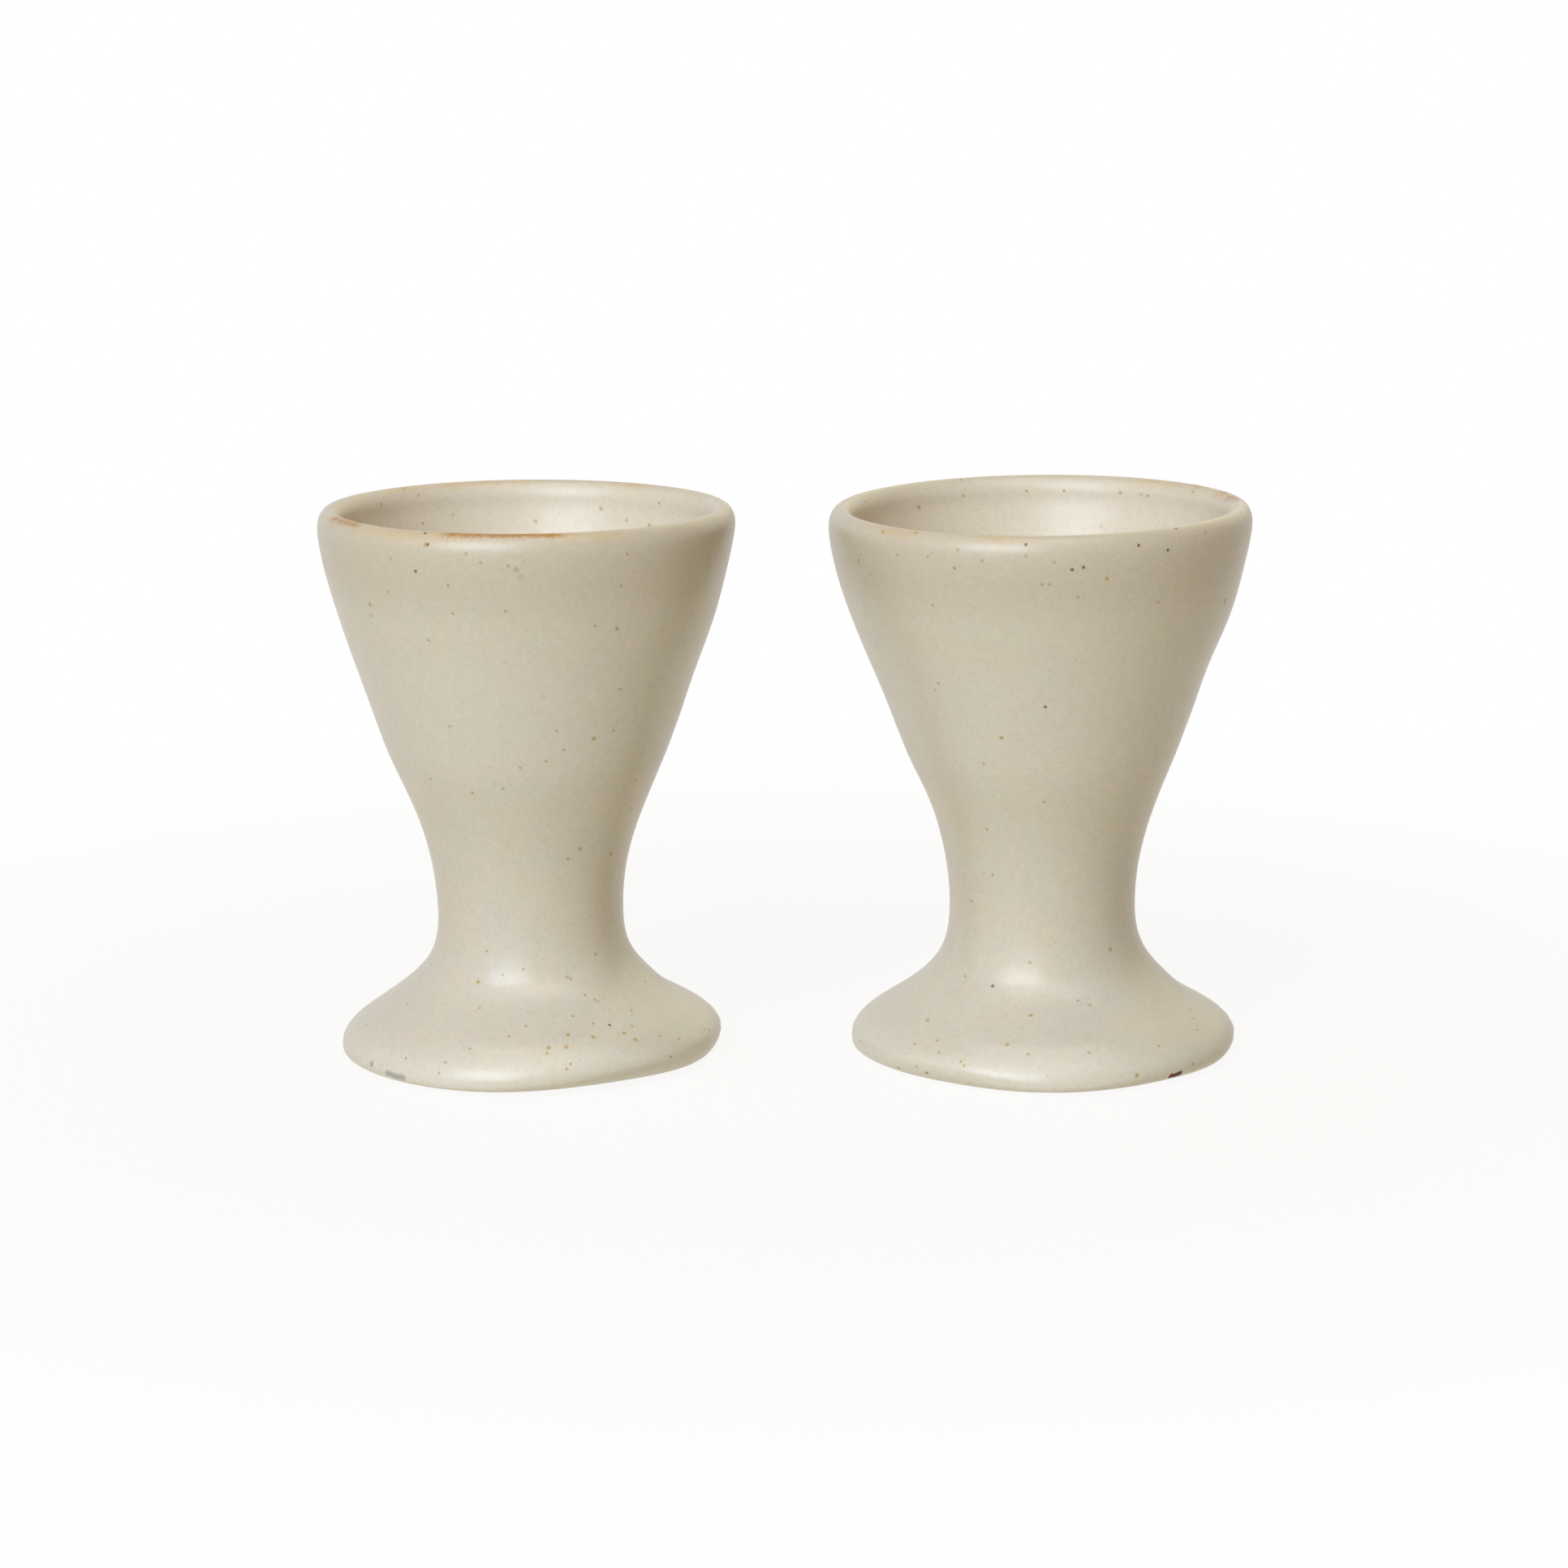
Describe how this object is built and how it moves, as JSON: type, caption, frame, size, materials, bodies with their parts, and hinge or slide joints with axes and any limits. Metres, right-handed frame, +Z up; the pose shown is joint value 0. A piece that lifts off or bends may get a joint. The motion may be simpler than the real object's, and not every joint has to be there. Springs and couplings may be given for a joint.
{
  "type": "egg cup pair",
  "caption": "Pair of footed egg cups in speckled satin stoneware: flared bowl, waisted stem and spreading round foot, each free-standing.",
  "frame": {"origin": "table plane, midway between the two outer rim edges", "axes": "+Z up, +X from the left cup to the right cup, -Y towards the viewer"},
  "size_m": [0.1142, 0.0518, 0.0688],
  "materials": {
    "fired_clay": "bare fired stoneware, fine-grained and matt",
    "satin_glaze": "satin cream glaze with iron specks"
  },
  "bodies": {
    "left_cup": {"left_stoneware_body": "fired_clay", "left_glaze_coat": "satin_glaze"},
    "right_cup": {"right_stoneware_body": "fired_clay", "right_glaze_coat": "satin_glaze"}
  },
  "joints": [
    {"name": "right_cup_lift", "type": "slide", "parent": "left_cup", "child": "right_cup", "axis": [0, 0, 1], "range_m": [0, 0.075]}
  ]
}
